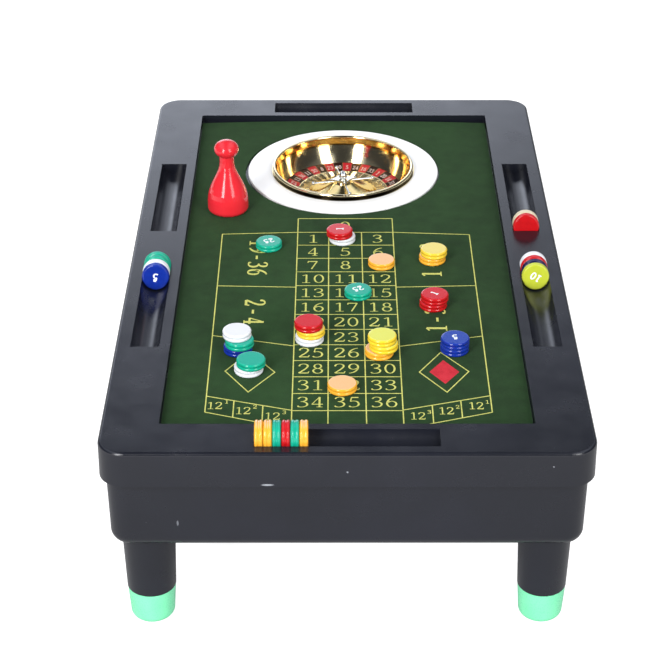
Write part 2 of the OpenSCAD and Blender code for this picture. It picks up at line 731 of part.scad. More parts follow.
// a chip's edge is two beads with a groove between them
module chip() {
    r = chip_d / 2;
    rotate_extrude() {
        square([r - chip_bead_r, chip_t]);
        translate([0, chip_bead_r]) square([r - chip_groove, 2 * chip_bead_r]);
        for (z = [chip_bead_r, chip_t - chip_bead_r]) translate([r - chip_bead_r, z]) circle(chip_bead_r);
    }
}

// the chips of one colour in a loose stack
module stack_chips(s, colour) {
    for (i = [0:len(s[4]) - 1]) if (s[4][i][0] == colour)
        color(paint(colour))
            translate(stack_place(s)) translate([s[4][i][1], s[4][i][2], mat_z + i * chip_t]) chip();
}

// the chips of one colour in a row that stands in a trough, counted from the trough's end
module rack_chips(k, colour) {
    t = TROUGHS[k[1]];
    lean = k[3] * rack_lean;
    half = chip_bead_r * (1 + cos(lean)) + (chip_d / 2 - chip_bead_r) * sin(lean);
    pitch = chip_t / cos(lean) + rack_gap;
    for (i = [0:len(k[4]) - 1]) if (k[4][i] == colour)
        color(paint(colour))
            translate([t[0], t[1], trough_z]) rotate(t[2])
                translate([k[2] * (trough_l / 2 - rack_gap - half - i * pitch), 0, 0])
                    rotate([0, 90 + lean, 0]) translate([0, 0, -chip_t / 2]) chip();
}

base_tub();
top_tray();
playing_mat();
for (l = LEGS) {
    leg(l);
    foot_cap(l);
}
trim_ring();
wheel_bowl();
spindle_bush();
number_ring();
pocket_frets();
rotor_cone();
wheel_spindle();
retaining_clip();
turret_hub();
turret_arms();
turret_finial();
roulette_ball();
marker_pawn();
for (s = STACKS) for (c = stack_colours(s))
    stack_chips(s, c);
for (k = RACKS) for (c = once(k[4]))
    rack_chips(k, c);
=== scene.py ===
import json
import math
import bpy
import numpy as np
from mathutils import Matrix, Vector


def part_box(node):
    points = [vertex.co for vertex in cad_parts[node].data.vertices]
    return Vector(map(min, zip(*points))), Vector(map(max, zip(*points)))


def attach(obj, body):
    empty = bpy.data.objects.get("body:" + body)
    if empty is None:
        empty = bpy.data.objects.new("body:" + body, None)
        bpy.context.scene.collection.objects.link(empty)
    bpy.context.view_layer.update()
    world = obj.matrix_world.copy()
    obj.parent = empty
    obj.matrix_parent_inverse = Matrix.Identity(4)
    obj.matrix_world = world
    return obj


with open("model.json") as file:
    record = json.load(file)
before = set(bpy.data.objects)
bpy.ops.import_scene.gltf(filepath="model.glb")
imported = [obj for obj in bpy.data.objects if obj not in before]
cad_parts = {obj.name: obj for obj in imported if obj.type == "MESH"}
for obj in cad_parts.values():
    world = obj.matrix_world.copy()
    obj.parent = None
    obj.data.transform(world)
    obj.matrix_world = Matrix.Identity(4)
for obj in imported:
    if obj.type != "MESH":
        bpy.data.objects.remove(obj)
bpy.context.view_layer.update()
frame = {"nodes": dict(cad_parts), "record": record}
nodes = frame["nodes"]
mm = 0.001
print("frame:", len(nodes), "nodes")


# numbers, colours and places

def tone(red, green, blue):  # a screen colour, 0 to 255, as linear light
    share = np.array([red, green, blue]) / 255
    light = np.where(share <= 0.04045, share / 12.92, ((share + 0.055) / 1.055) ** 2.4)
    return (float(light[0]), float(light[1]), float(light[2]), 1.0)


def middleOf(node):
    low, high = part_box(node)
    return (np.array(low) + np.array(high)) / 2


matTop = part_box("playing_mat")[1].z
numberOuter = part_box("number_ring")[1].z
wheelX, wheelY = middleOf("trim_ring")[:2]
numberRadius = (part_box("number_ring")[1].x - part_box("number_ring")[0].x) / 2
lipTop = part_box("wheel_bowl")[1].z


# materials: sockets that can be added and multiplied

class Wire:  # one output socket, used like a number
    def __init__(self, paint, socket):
        self.paint = paint
        self.socket = socket

    def also(self, output):  # another output of the same node
        return Wire(self.paint, self.socket.node.outputs[output])

    def __add__(self, other):
        return self.paint.maths("ADD", self, other)

    def __radd__(self, other):
        return self.paint.maths("ADD", other, self)

    def __sub__(self, other):
        return self.paint.maths("SUBTRACT", self, other)

    def __rsub__(self, other):
        return self.paint.maths("SUBTRACT", other, self)

    def __mul__(self, other):
        return self.paint.maths("MULTIPLY", self, other)

    def __rmul__(self, other):
        return self.paint.maths("MULTIPLY", other, self)

    def __truediv__(self, other):
        return self.paint.maths("DIVIDE", self, other)

    def __pow__(self, other):
        return self.paint.maths("POWER", self, other)

    def __gt__(self, other):
        return self.paint.maths("GREATER_THAN", self, other)

    def __lt__(self, other):
        return self.paint.maths("LESS_THAN", self, other)


class Paint:  # a material's nodes
    def __init__(self, name, tree=None):
        if tree is None:
            self.material = bpy.data.materials.new(name)
            self.material.use_nodes = True
            tree = self.material.node_tree
        self.tree = tree
        self.tree.nodes.clear()

    def node(self, kind, settings=None, sockets=None, output=0):
        # settings come before sockets, because some of them change which sockets there are
        made = self.tree.nodes.new(kind)
        for key, value in (settings or {}).items():
            setattr(made, key, value)
        for key, value in (sockets or {}).items():
            if isinstance(value, Wire):
                self.tree.links.new(value.socket, made.inputs[key])
            else:
                made.inputs[key].default_value = value
        return Wire(self, made.outputs[output])

    def maths(self, operation, first, second=0.0):
        return self.node("ShaderNodeMath", {"operation": operation}, {0: first, 1: second})

    def place(self):
        return self.node("ShaderNodeTexCoord", output="Object")

    def axes(self, place):  # its three coordinates
        x = self.node("ShaderNodeSeparateXYZ", None, {0: place}, "X")
        return x, x.also("Y"), x.also("Z")

    def noise(self, size, detail, roughness=0.55, stretch=(1, 1, 1)):
        # size is the width of one blotch in metres
        where = self.place()
        if stretch != (1, 1, 1):
            where = self.node("ShaderNodeMapping", None, {"Vector": where, "Scale": stretch})
        return self.node("ShaderNodeTexNoise", None,
                         {"Vector": where, "Scale": 1 / size, "Detail": detail, "Roughness": roughness})

    def ramp(self, value, low, high, start=0.0, end=1.0):
        # value from low to high as start to end, held at both
        return self.node("ShaderNodeMapRange", {"clamp": True, "interpolation_type": "SMOOTHSTEP"},
                         {"Value": value, "From Min": low, "From Max": high, "To Min": start, "To Max": end})

    def mix(self, share, first, second):  # of two colours
        return self.node("ShaderNodeMix", {"data_type": "RGBA"}, {0: share, 6: first, 7: second}, 2)

    def bump(self, height, depth, strength):
        return self.node("ShaderNodeBump", None, {"Height": height, "Distance": depth, "Strength": strength})

    def surface(self, **sockets):
        named = {key.replace("_", " "): value for key, value in sockets.items()}
        shader = self.node("ShaderNodeBsdfPrincipled", None, named)
        self.finishWith(shader)
        return self.material

    def finishWith(self, shader):
        out = self.tree.nodes.new("ShaderNodeOutputMaterial")
        self.tree.links.new(shader.socket, out.inputs["Surface"])


def blackCasePlastic():  # satin moulded shell with fine grain, handling marks and dust
    look = {"colour": tone(22, 24, 32), "worn": tone(30, 32, 43), "cloud": 0.09,
            "wornRamp": (0.35, 0.7, 0, 0.45), "dust": tone(130, 132, 140), "dustShare": 0.16,
            "speck": 0.0035, "speckRamp": (0.76, 0.8), "mark": 0.006, "markStretch": (0.5, 3, 3),
            "markRamp": (0.73, 0.77), "grain": 0.0006, "grainDepth": 0.00002, "grainStrength": 0.5,
            "blotch": 0.03, "roughRamp": (0.3, 0.75, 0.21, 0.29),
            "front": -0.25, "scuffed": tone(160, 164, 172), "scuffCore": 0.2,
            # each scuff on the front: its middle, half its width and height, and its strength
            "scuffs": [(-0.051, 0.1243, 0.0048, 0.0009, 0.8), (-0.110, 0.091, 0.0008, 0.0026, 0.35),
                       (0.0, 0.134, 0.0008, 0.0008, 0.7), (0.131, 0.138, 0.0007, 0.0007, 0.5)]}
    p = Paint("blackCasePlastic")
    worn = p.ramp(p.noise(look["cloud"], 4), *look["wornRamp"])
    colour = p.mix(worn, look["colour"], look["worn"])
    speck = p.ramp(p.noise(look["speck"], 2, 0.7), *look["speckRamp"])
    scratch = p.ramp(p.noise(look["mark"], 5, 0.75, look["markStretch"]), *look["markRamp"])
    dusty = p.maths("MAXIMUM", speck, scratch) * look["dustShare"]
    colour = p.mix(dusty, colour, look["dust"])
    x, y, z = p.axes(p.place())
    front = y < look["front"]
    for middleX, middleZ, wide, high, strength in look["scuffs"]:
        reach = ((x - middleX) / wide) ** 2 + ((z - middleZ) / high) ** 2
        scuff = p.ramp(reach, look["scuffCore"], 1, strength, 0) * front
        colour = p.mix(scuff, colour, look["scuffed"])
    return p.surface(Base_Color=colour,
                     Roughness=p.ramp(p.noise(look["blotch"], 5, 0.6), *look["roughRamp"]),
                     Normal=p.bump(p.noise(look["grain"], 2), look["grainDepth"], look["grainStrength"]))


def feltCloth():  # short flocked nap: mottled green with fibres standing up
    look = {"deep": tone(17, 38, 18), "lit": tone(34, 64, 32), "litRamp": (0.42, 0.78),
            "fibre": 0.0007, "fibreShare": 0.45, "mottle": 0.012, "mottleShare": 0.3,
            "brush": 0.08, "brushStretch": (1, 0.4, 1), "brushShare": 0.45,
            "lint": tone(150, 170, 140), "lintSize": 0.0045, "lintRamp": (0.8, 0.83), "lintShare": 0.45,
            "roughRamp": (0.3, 0.7, 0.85, 1.0), "sheen": tone(150, 190, 140), "sheenWeight": 0.22,
            "sheenRough": 0.5, "specular": 0.15, "napMottle": 0.5, "napDepth": 0.00025, "napStrength": 0.8}
    p = Paint("feltCloth")
    fibre = p.noise(look["fibre"], 3, 0.7)
    mottle = p.noise(look["mottle"], 4, 0.6)
    brush = p.noise(look["brush"], 3, 0.5, look["brushStretch"])
    share = fibre * look["fibreShare"] + mottle * look["mottleShare"] + brush * look["brushShare"]
    colour = p.mix(p.ramp(share, *look["litRamp"]), look["deep"], look["lit"])
    lint = p.ramp(p.noise(look["lintSize"], 2, 0.8), *look["lintRamp"]) * look["lintShare"]
    return p.surface(Base_Color=p.mix(lint, colour, look["lint"]),
                     Roughness=p.ramp(fibre, *look["roughRamp"]), Sheen_Weight=look["sheenWeight"],
                     Sheen_Roughness=look["sheenRough"], Sheen_Tint=look["sheen"],
                     Specular_IOR_Level=look["specular"],
                     Normal=p.bump(fibre + mottle * look["napMottle"], look["napDepth"], look["napStrength"]))


def printInk(name, colour, thin):  # ink that sinks into the nap and lets it through in places
    look = {"nap": 0.0006, "napShare": 0.6, "wear": 0.008, "wearShare": 0.4, "thinRamp": (0.42, 0.66, 0, 0.8),
            "roughRamp": (0.3, 0.7, 0.7, 0.9), "specular": 0.2, "sink": 0.00015, "sinkStrength": 0.6}
    p = Paint(name)
    nap = p.noise(look["nap"], 3, 0.7)
    wear = p.noise(look["wear"], 4, 0.6)
    thinned = p.ramp(nap * look["napShare"] + wear * look["wearShare"], *look["thinRamp"])
    return p.surface(Base_Color=p.mix(thinned, colour, thin), Roughness=p.ramp(wear, *look["roughRamp"]),
                     Specular_IOR_Level=look["specular"],
                     Normal=p.bump(nap, look["sink"], look["sinkStrength"]))


def mouldedGloss(name, colour, shade, rough, grain, face=None):
    # glossy moulded plastic with flow marks; the optional paler colour is painted in patches on upward faces,
    # a painted reflection that makes level tops look paler
    look = {"haze": 0.0009, "shadeRamp": (0.3, 0.75, 0, 0.6), "levelRamp": (0.8, 0.98),
            "sheenPatchRamp": (0.2, 0.6, 0.75, 1), "roughRamp": (0.3, 0.75), "smoothest": 0.8, "roughest": 1.35,
            "flowDepth": 0.00006, "flowStrength": 0.35}
    p = Paint(name)
    flow = p.noise(grain, 4, 0.5)
    haze = p.noise(look["haze"], 3, 0.6)
    body = p.mix(p.ramp(flow, *look["shadeRamp"]), colour, shade)
    if face:
        # painted reflection: faces turned upwards are made paler in patches
        upward = p.axes(p.node("ShaderNodeNewGeometry", output="Normal"))[2]
        sheenPatches = p.ramp(upward, *look["levelRamp"]) * p.ramp(haze, *look["sheenPatchRamp"])
        body = p.mix(sheenPatches, body, face)
    spread = rough * look["smoothest"], rough * look["roughest"]
    return p.surface(Base_Color=body, Roughness=p.ramp(haze, *look["roughRamp"], *spread),
                     Normal=p.bump(flow, look["flowDepth"], look["flowStrength"]))


bowlPlating = {  # the wall's radius, and where a deeper band inside and a painted shade outside begin and end; the painted shade is a painted dark reflection and shadow below the lip, on the front side only
    "wall": 0.0566, "bandLow": lipTop - 0.0085, "bandTop": lipTop - 0.0014, "band": tone(226, 176, 92),
    "lipShadeTop": lipTop - 0.0014, "edge": 0.0003, "paintedLipShade": tone(58, 51, 38), "front": (0.03, 0.05, 0.35, 1),
}


def wheelRadius(x, y):  # how far a place is from the wheel's axis
    return ((x - wheelX) ** 2 + (y - wheelY) ** 2) ** 0.5


def polishedMetal(name, colour, stain, rough, plating=None):
    # bright metal with fine rubbing marks; plating is the settings of a bowl's lip
    look = {"rub": 0.0005, "rubShare": 0.4, "film": 0.012, "filmShare": 0.6, "stainRamp": (0.35, 0.8, 0, 0.5),
            "roughRamp": (0.3, 0.7), "smoothest": 0.6, "roughest": 1.8}
    p = Paint(name)
    rub = p.noise(look["rub"], 3, 0.7)
    film = p.noise(look["film"], 4, 0.6)
    body = p.mix(p.ramp(film, *look["stainRamp"]), colour, stain)
    if plating:
        x, y, z = p.axes(p.place())
        outside = wheelRadius(x, y) > plating["wall"]
        edge = plating["edge"]
        band = p.ramp(z, plating["bandLow"], plating["bandLow"] + 2 * edge) * (z < plating["bandTop"])
        body = p.mix(band * (1 - outside), body, plating["band"])
        # painted shade: the outside of the wall below the lip is darkened on the front side only, standing in
        # for a dark reflection and shadow there
        front = p.ramp(wheelY - y, *plating["front"])
        shadedUnderLip = p.ramp(z, plating["lipShadeTop"] - edge, plating["lipShadeTop"] + edge, 1, 0)
        body = p.mix(outside * front * shadedUnderLip, body, plating["paintedLipShade"])
    spread = rough * look["smoothest"], rough * look["roughest"]
    marks = film * look["filmShare"] + rub * look["rubShare"]
    return p.surface(Base_Color=body, Metallic=1.0, Roughness=p.ramp(marks, *look["roughRamp"], *spread))


def numberedRing():  # thirty-seven printed sectors, one green and the rest red and black in turn
    look = {"green": tone(20, 110, 60), "red": tone(190, 40, 50), "black": tone(46, 26, 26),
            "line": tone(150, 110, 80), "lineShare": 0.03, "sectors": 37,
            "gold": tone(240, 216, 160), "width": 0.0104, "haze": 0.003, "roughRamp": (0.3, 0.7, 0.14, 0.26),
            "coat": 0.3, "coatRough": 0.08, "hazeDepth": 0.00002, "hazeStrength": 0.3}
    p = Paint("numberedRing")
    x, y = p.axes(p.place())[:2]
    angle = p.maths("ARCTAN2", y - wheelY, x - wheelX)
    # whole turns are added so that the count of sectors stays above zero
    turn = (angle * -1 - math.pi / 2) / (2 * math.pi) * look["sectors"] + 0.5 + 2 * look["sectors"]
    whole = p.maths("FLOOR", turn)
    sector = p.maths("MODULO", whole, float(look["sectors"]))
    colour = p.mix(p.maths("MODULO", sector, 2.0), look["black"], look["red"])
    colour = p.mix(sector < 0.5, colour, look["green"])
    fromMiddle = p.maths("ABSOLUTE", turn - whole - 0.5)
    colour = p.mix(fromMiddle > 0.5 - look["lineShare"], colour, look["line"])
    pocket = wheelRadius(x, y) < numberRadius - look["width"]
    colour = p.mix(pocket, colour, look["gold"])
    haze = p.noise(look["haze"], 4, 0.6)
    return p.surface(Base_Color=colour, Metallic=pocket, Roughness=p.ramp(haze, *look["roughRamp"]),
                     Coat_Weight=look["coat"], Coat_Roughness=look["coatRough"],
                     Normal=p.bump(haze, look["hazeDepth"], look["hazeStrength"]))


chipColours = {  # colour, its darker flow marks, and the paler colour painted on upward faces as a painted reflection
    "teal": (tone(14, 168, 138), tone(6, 148, 120), tone(40, 168, 148)),
    "white": (tone(222, 225, 232), tone(214, 218, 227), tone(226, 229, 235)),
    "red": (tone(192, 20, 26), tone(176, 12, 18), tone(202, 38, 50)),
    "orange": (tone(244, 176, 54), tone(236, 160, 38), tone(238, 190, 142)),
    "yellow": (tone(238, 202, 60), tone(230, 188, 46), tone(230, 214, 120)),
    "lime": (tone(190, 200, 60), tone(180, 190, 50), tone(196, 206, 84)),
    "blue": (tone(18, 48, 152), tone(12, 36, 132), tone(50, 78, 170)),
    "navy": (tone(20, 24, 70), tone(14, 17, 54), tone(34, 38, 88)),
    "beige": (tone(208, 198, 172), tone(192, 182, 154), tone(212, 204, 182)),
}

finish = {
    "black_plastic": blackCasePlastic(),
    "green_felt": feltCloth(),
    "mint_cap": mouldedGloss("mintCap", tone(132, 238, 184), tone(120, 230, 174), 0.3, 0.01),
    "white_plastic": mouldedGloss("whiteRing", tone(254, 254, 254), tone(250, 251, 253), 0.12, 0.02),
    "gold_metal": polishedMetal("goldBowl", tone(250, 234, 192), tone(244, 220, 166), 0.09, bowlPlating),
    "brass": polishedMetal("turnedBrass", tone(206, 164, 88), tone(170, 126, 60), 0.22),
    "number_plastic": numberedRing(),
    "silver_trim": polishedMetal("silverTrim", tone(236, 236, 232), tone(222, 220, 210), 0.14),
    "gold_plated_plastic": polishedMetal("goldCone", tone(248, 224, 160), tone(238, 206, 130), 0.1),
    "steel": polishedMetal("groundSteel", tone(170, 173, 178), tone(140, 142, 148), 0.3),
    "ivory_plastic": mouldedGloss("ivoryBall", tone(238, 234, 218), tone(228, 222, 202), 0.14, 0.002),
    "pawn_red": mouldedGloss("pawnRed", tone(230, 46, 58), tone(220, 36, 46), 0.14, 0.02),
}
for colourName, (plain, shade, face) in chipColours.items():
    chipName = "chip" + colourName.capitalize()
    finish["chip_" + colourName] = mouldedGloss(chipName, plain, shade, 0.17, 0.004, face)

# the tenth stack is lemon; its paler top colour is a painted reflection, as on the other chips
lemon = mouldedGloss("chipLemon", tone(240, 206, 50), tone(232, 194, 38), 0.17, 0.004, tone(218, 222, 108))
for part in frame["record"]["subparts"]:
    slots = nodes[part["node"]].data.materials
    slots.clear()
    slots.append(lemon if part["node"] == "stack_10_lime" else finish[part["material_slot"]])
print("finishes on the packed nodes:", len(finish))


# surfaces

def loopFaces(rows, columns, closed):
    # four-sided faces between loops of points, numbered loop by loop; closed joins the last loop to the first
    starts = np.arange(rows if closed else rows - 1)
    row, column = (a.ravel() for a in np.meshgrid(starts, np.arange(columns), indexing="ij"))
    nextRow = (row + 1) % rows
    nextColumn = (column + 1) % columns
    return np.stack([row * columns + column, row * columns + nextColumn,
                     nextRow * columns + nextColumn, nextRow * columns + column], 1)


def addPiece(name, points, faces, material, body):
    mesh = bpy.data.meshes.new(name)
    mesh.from_pydata(points.tolist(), [], faces)
    mesh.materials.append(material)
    mesh.update()
    piece = bpy.data.objects.new(name, mesh)
    bpy.context.scene.collection.objects.link(piece)
    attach(piece, body)


def smoothLine(points, closed, steps=6):
    # a curve through every point: each span blends its four neighbours by Catmull and Rom's cubic
    p = np.array(points, float)
    if closed:
        p = np.vstack([p[-1], p, p[0], p[1]])
    else:
        p = np.vstack([2 * p[0] - p[1], p, 2 * p[-1] - p[-2]])
    a, b, c, d = p[:-3, None], p[1:-2, None], p[2:-1, None], p[3:, None]
    t = (np.arange(steps) / steps)[None, :, None]
    line = 2 * b + (c - a) * t + (2 * a - 5 * b + 4 * c - d) * t ** 2 + (3 * b - a - 3 * c + d) * t ** 3
    line = (0.5 * line).reshape(-1, 2)
    return line if closed else np.vstack([line, p[-2]])


def oval(x, y, reachX, reachY, count=8):
    # points round an ellipse, from its top
    turn = np.arange(count) / count * 2 * math.pi
    return np.stack([x + reachX * np.sin(turn), y + reachY * np.cos(turn)], 1)


figureBox = 0.6  # width of the box that a figure is drawn in, one unit high
# strokes of each figure: shape, points, weight
figures = {
    "0": [("loop", oval(0.3, 0.5, 0.235, 0.46), 1)],
    "1": [("line", [(0.33, 0.04), (0.33, 0.97)], 1), ("line", [(0.12, 0.84), (0.33, 0.97)], 0.8),
          ("line", [(0.1, 0.03), (0.54, 0.03)], 1)],
    "2": [("curve", [(0.07, 0.74), (0.13, 0.9), (0.3, 0.97), (0.47, 0.88), (0.5, 0.7), (0.38, 0.46),
                     (0.2, 0.24), (0.06, 0.06)], 1),
          ("line", [(0.06, 0.06), (0.55, 0.06)], 2.1), ("line", [(0.52, 0.05), (0.57, 0.22)], 0.6)],
    "3": [("curve", [(0.07, 0.8), (0.16, 0.93), (0.3, 0.97), (0.46, 0.88), (0.47, 0.7), (0.36, 0.58),
                     (0.2, 0.54)], 1),
          ("curve", [(0.2, 0.54), (0.4, 0.49), (0.52, 0.32), (0.46, 0.12), (0.28, 0.03), (0.12, 0.05),
                     (0.05, 0.14)], 1)],
    "4": [("line", [(0.4, 0.96), (0.04, 0.3)], 0.5), ("line", [(0.03, 0.29), (0.58, 0.29)], 1.7),
          ("line", [(0.41, 0.97), (0.41, 0.03)], 1), ("line", [(0.26, 0.03), (0.56, 0.03)], 0.9)],
    "5": [("line", [(0.17, 0.93), (0.51, 0.93)], 2.1), ("line", [(0.17, 0.95), (0.11, 0.55)], 0.6),
          ("curve", [(0.11, 0.55), (0.26, 0.6), (0.44, 0.53), (0.52, 0.32), (0.45, 0.12), (0.27, 0.03),
                     (0.11, 0.05), (0.05, 0.13)], 1)],
    "6": [("curve", [(0.53, 0.96), (0.34, 0.88), (0.17, 0.7), (0.08, 0.42), (0.1, 0.2), (0.2, 0.06),
                     (0.32, 0.03), (0.46, 0.1), (0.53, 0.3), (0.48, 0.48), (0.34, 0.57), (0.2, 0.53),
                     (0.1, 0.42)], 1)],
    "7": [("line", [(0.05, 0.93), (0.55, 0.93)], 2.1), ("line", [(0.06, 0.95), (0.04, 0.78)], 0.6),
          ("line", [(0.54, 0.93), (0.24, 0.02)], 0.85)],
    "8": [("loop", oval(0.3, 0.74, 0.175, 0.215), 0.9), ("loop", oval(0.3, 0.275, 0.225, 0.24), 1)],
    "-": [("line", [(0.12, 0.42), (0.48, 0.42)], 1.8)],
}
figures["9"] = [(shape, [(figureBox - x, 1 - y) for x, y in points], weight)
                for shape, points, weight in figures["6"]]


def writing(text, height, width, advance, nib):
    # strokes of a row of figures centred on zero, each a line and its widths;
    # the nib is (thin, thick): upright strokes get the thick width and level ones the thin
    strokes = []
    start = -(advance * (len(text) - 1) + width) / 2
    for index, letter in enumerate(text):
        for layer, (shape, points, weight) in enumerate(figures[letter]):
            closed = shape == "loop"
            line = np.array(points, float) if shape == "line" else smoothLine(points, closed)
            line = line * (width / figureBox, height) + (start + advance * index, -height / 2)
            strokes.append((line, nibWidths(line, closed, nib, height, weight), closed, layer))
    return strokes


def nibWidths(line, closed, nib, height, weight, bend=1.4):
    # width at each point, from the nib's thin to its thick side as the line turns upright
    ahead = np.roll(line, -1, 0) - line
    if not closed:
        ahead[-1] = ahead[-2]
    steep = np.abs(ahead[:, 1]) / np.maximum(np.hypot(ahead[:, 0], ahead[:, 1]), 1e-12)
    if len(line) > 2:
        steep = (np.roll(steep, 1) + steep + np.roll(steep, -1)) / 3
    return (nib[0] + (nib[1] - nib[0]) * steep ** bend) * height * weight


def ribbonEdges(line, widths, closed):
    # both edges of a stroke: half its width out to either side, along the mitre of its corners,
    # which reaches out twice that at most
    ahead = np.roll(line, -1, 0) - line
    behind = line - np.roll(line, 1, 0)
    if not closed:
        ahead[-1] = behind[-1]
        behind[0] = ahead[0]
    ahead /= np.hypot(ahead[:, 0], ahead[:, 1])[:, None]
    behind /= np.hypot(behind[:, 0], behind[:, 1])[:, None]
    along = ahead + behind
    length = np.hypot(along[:, 0], along[:, 1])[:, None]
    side = np.stack([-along[:, 1], along[:, 0]], 1) / length / np.maximum(length / 2, 0.5)
    return line + side * widths[:, None] / 2, line - side * widths[:, None] / 2


def inkSlabs(strokes, place, thickness, count=0, layerLift=0.15):
    # each stroke is a thin closed slab: a four-point section carried along its line;
    # count is the number of points before the first, and each layer lies a little above the last
    points, faces = [], []
    for line, widths, closed, layer in strokes:
        left, right = ribbonEdges(line, widths, closed)
        top = thickness * (1 + layerLift * layer)
        rows = np.stack([place(left, top), place(right, top), place(right, -thickness),
                         place(left, -thickness)], 1)
        points.append(rows.reshape(-1, 3))
        faces.extend((loopFaces(len(line), 4, closed) + count).tolist())
        if not closed:
            last = count + 4 * (len(line) - 1)
            faces.append([count + 3, count + 2, count + 1, count])
            faces.append([last, last + 1, last + 2, last + 3])
        count += 4 * len(line)
    return np.vstack(points), faces


def inkPiece(name, strokes, place, thickness, material, body):
    points, faces = inkSlabs(strokes, place, thickness)
    addPiece(name, points, faces, material, body)


def moved(strokes, x, y, turn=0.0):
    # strokes turned about zero, in degrees, and then moved
    c, s = math.cos(math.radians(turn)), math.sin(math.radians(turn))
    spin = np.array([[c, s], [-s, c]])
    return [(line @ spin + (x, y), widths, closed, layer) for line, widths, closed, layer in strokes]


def ruled(points, width, layer=0):  # a stroke of one width
    line = np.array(points, float)
    return (line, np.full(len(line), float(width)), False, layer)


def flatOn(height):  # places ink on a level face, with sizes in millimetres
    def place(xy, lift):
        return np.column_stack([xy * mm, np.full(len(xy), height + lift * mm)])
    return place


# the printed layout on the mat

layout = {
    "columnLines": [-36.4, -12.5, 12.75, 37.0], "zeroTop": 57.7, "gridTop": 34.4, "rowPitch": 21.25,
    "rows": 12, "gridEnd": -240.0, "lineWidth": 0.8, "inkHeight": 0.05,
    "figureHeight": 13.0, "figureWidth": 8.1, "figureAdvance": 9.6, "nib": (0.038, 0.1),
}


def gridLines():
    gridLow = layout["gridTop"] - layout["rowPitch"] * layout["rows"]
    columns = layout["columnLines"]
    width = layout["lineWidth"]
    lines = []
    for index, x in enumerate(columns):
        outer = index in (0, len(columns) - 1)
        top = layout["zeroTop"] if outer else layout["gridTop"]
        lines.append(ruled([(x, top), (x, gridLow if outer else layout["gridEnd"])], width, 1))
    levels = layout["gridTop"] - layout["rowPitch"] * np.arange(layout["rows"] + 1)
    for y in [layout["zeroTop"], *levels]:
        lines.append(ruled([(columns[0], y), (columns[-1], y)], width))
    return lines


sideFields = {  # corner points of the fields beside the grid, left then right
    "left": {"edge": [(-94.5, 31.4), (-93.6, -222.3)],
             "bars": [[(-94.6, 31.4), (-36.4, 34.4)], [(-93.9, -50.8), (-36.4, -52.9)],
                      [(-94.2, -122.8), (-36.4, -137.2)], [(-93.7, -202.6), (-36.4, -220.2)],
                      [(-93.6, -222.3), (-36.4, -242.0)]],
             "dividers": [[(-75.0, -208.4), (-75.0, -228.7)], [(-55.6, -214.3), (-55.6, -235.4)],
                          [(-36.4, -220.2), (-36.4, -242.0)]],
             "diamond": [(-82.7, -170.7), (-66.0, -197.5), (-48.8, -172.2), (-67.0, -145.3)]},
    "right": {"edge": [(95.8, 30.5), (95.7, -222.7)],
              "bars": [[(95.8, 30.5), (37.0, 34.4)], [(95.8, -50.6), (37.0, -52.9)],
                       [(95.7, -123.8), (37.0, -137.8)], [(95.8, -202.2), (37.0, -219.9)],
                       [(95.7, -222.7), (37.0, -242.4)]],
              "dividers": [[(75.7, -208.3), (75.7, -229.4)], [(56.5, -214.0), (56.5, -235.9)],
                           [(37.0, -219.9), (37.0, -242.4)]],
              "diamond": [(49.6, -172.1), (65.3, -146.1), (83.3, -171.3), (67.2, -197.8)]},
}


def fieldLines():
    width = layout["lineWidth"]
    lines = []
    for side in sideFields.values():
        lines.append(ruled(side["edge"], width, 1))
        lines.extend(ruled(bar, width, 2) for bar in side["bars"])
        lines.extend(ruled(divider, width, 1) for divider in side["dividers"])
        corners = np.array(side["diamond"], float)
        lines.append((corners, np.full(4, width), True, 0))
    return lines


def gridFigures():
    look = layout
    shape = look["figureHeight"], look["figureWidth"], look["figureAdvance"], look["nib"]
    columns = look["columnLines"]
    across = len(columns) - 1
    zero = (columns[1] + columns[2]) / 2, (look["zeroTop"] + look["gridTop"]) / 2
    strokes = moved(writing("0", *shape), *zero)
    for number in range(1, across * look["rows"] + 1):
        row, column = divmod(number - 1, across)
        x = (columns[column] + columns[column + 1]) / 2
        y = look["gridTop"] - look["rowPitch"] * (row + 0.5)
        strokes += moved(writing(str(number), *shape), x, y)
    return strokes


sideFigures = {  # text, middle, turn, height, width and advance of a figure
    "upperLeft": ("19-36", -65.5, -6.5, -90, 15.0, 9.0, 11.6),
    "lowerLeft": ("2-4", -65.5, -89.0, -90, 15.0, 9.0, 13.2),
    "upperRight": ("1-18", 64.0, -11.0, 90, 15.0, 9.0, 14.6),
    "lowerRight": ("1-3-5", 64.0, -88.0, 90, 15.0, 9.0, 12.6),
}
sideNib = (0.06, 0.16)
dozens = {"figureHeight": 8.6, "figureWidth": 4.9, "advance": 5.4, "nib": (0.05, 0.1), "shift": -1.6,
          "small": 4.4, "smallWidth": 2.6, "smallNib": (0.07, 0.12), "smallShift": 6.2, "smallLift": 4.7,
          "left": [(-86.0, -214.3), (-67.0, -220.5), (-47.5, -227.2)],
          "right": [(87.0, -214.6), (67.0, -220.8), (48.0, -227.0)]}


def labelFigures():
    look = dozens
    strokes = []
    for text, x, y, turn, height, width, advance in sideFigures.values():
        strokes += moved(writing(text, height, width, advance, sideNib), x, y, turn)
    for side in ("left", "right"):
        for index, (x, y) in enumerate(look[side]):
            big = writing("12", look["figureHeight"], look["figureWidth"], look["advance"], look["nib"])
            small = writing(str(index + 1), look["small"], look["smallWidth"], 0, look["smallNib"])
            strokes += moved(big, x + look["shift"], y)
            strokes += moved(small, x + look["smallShift"], y + look["smallLift"])
    return strokes


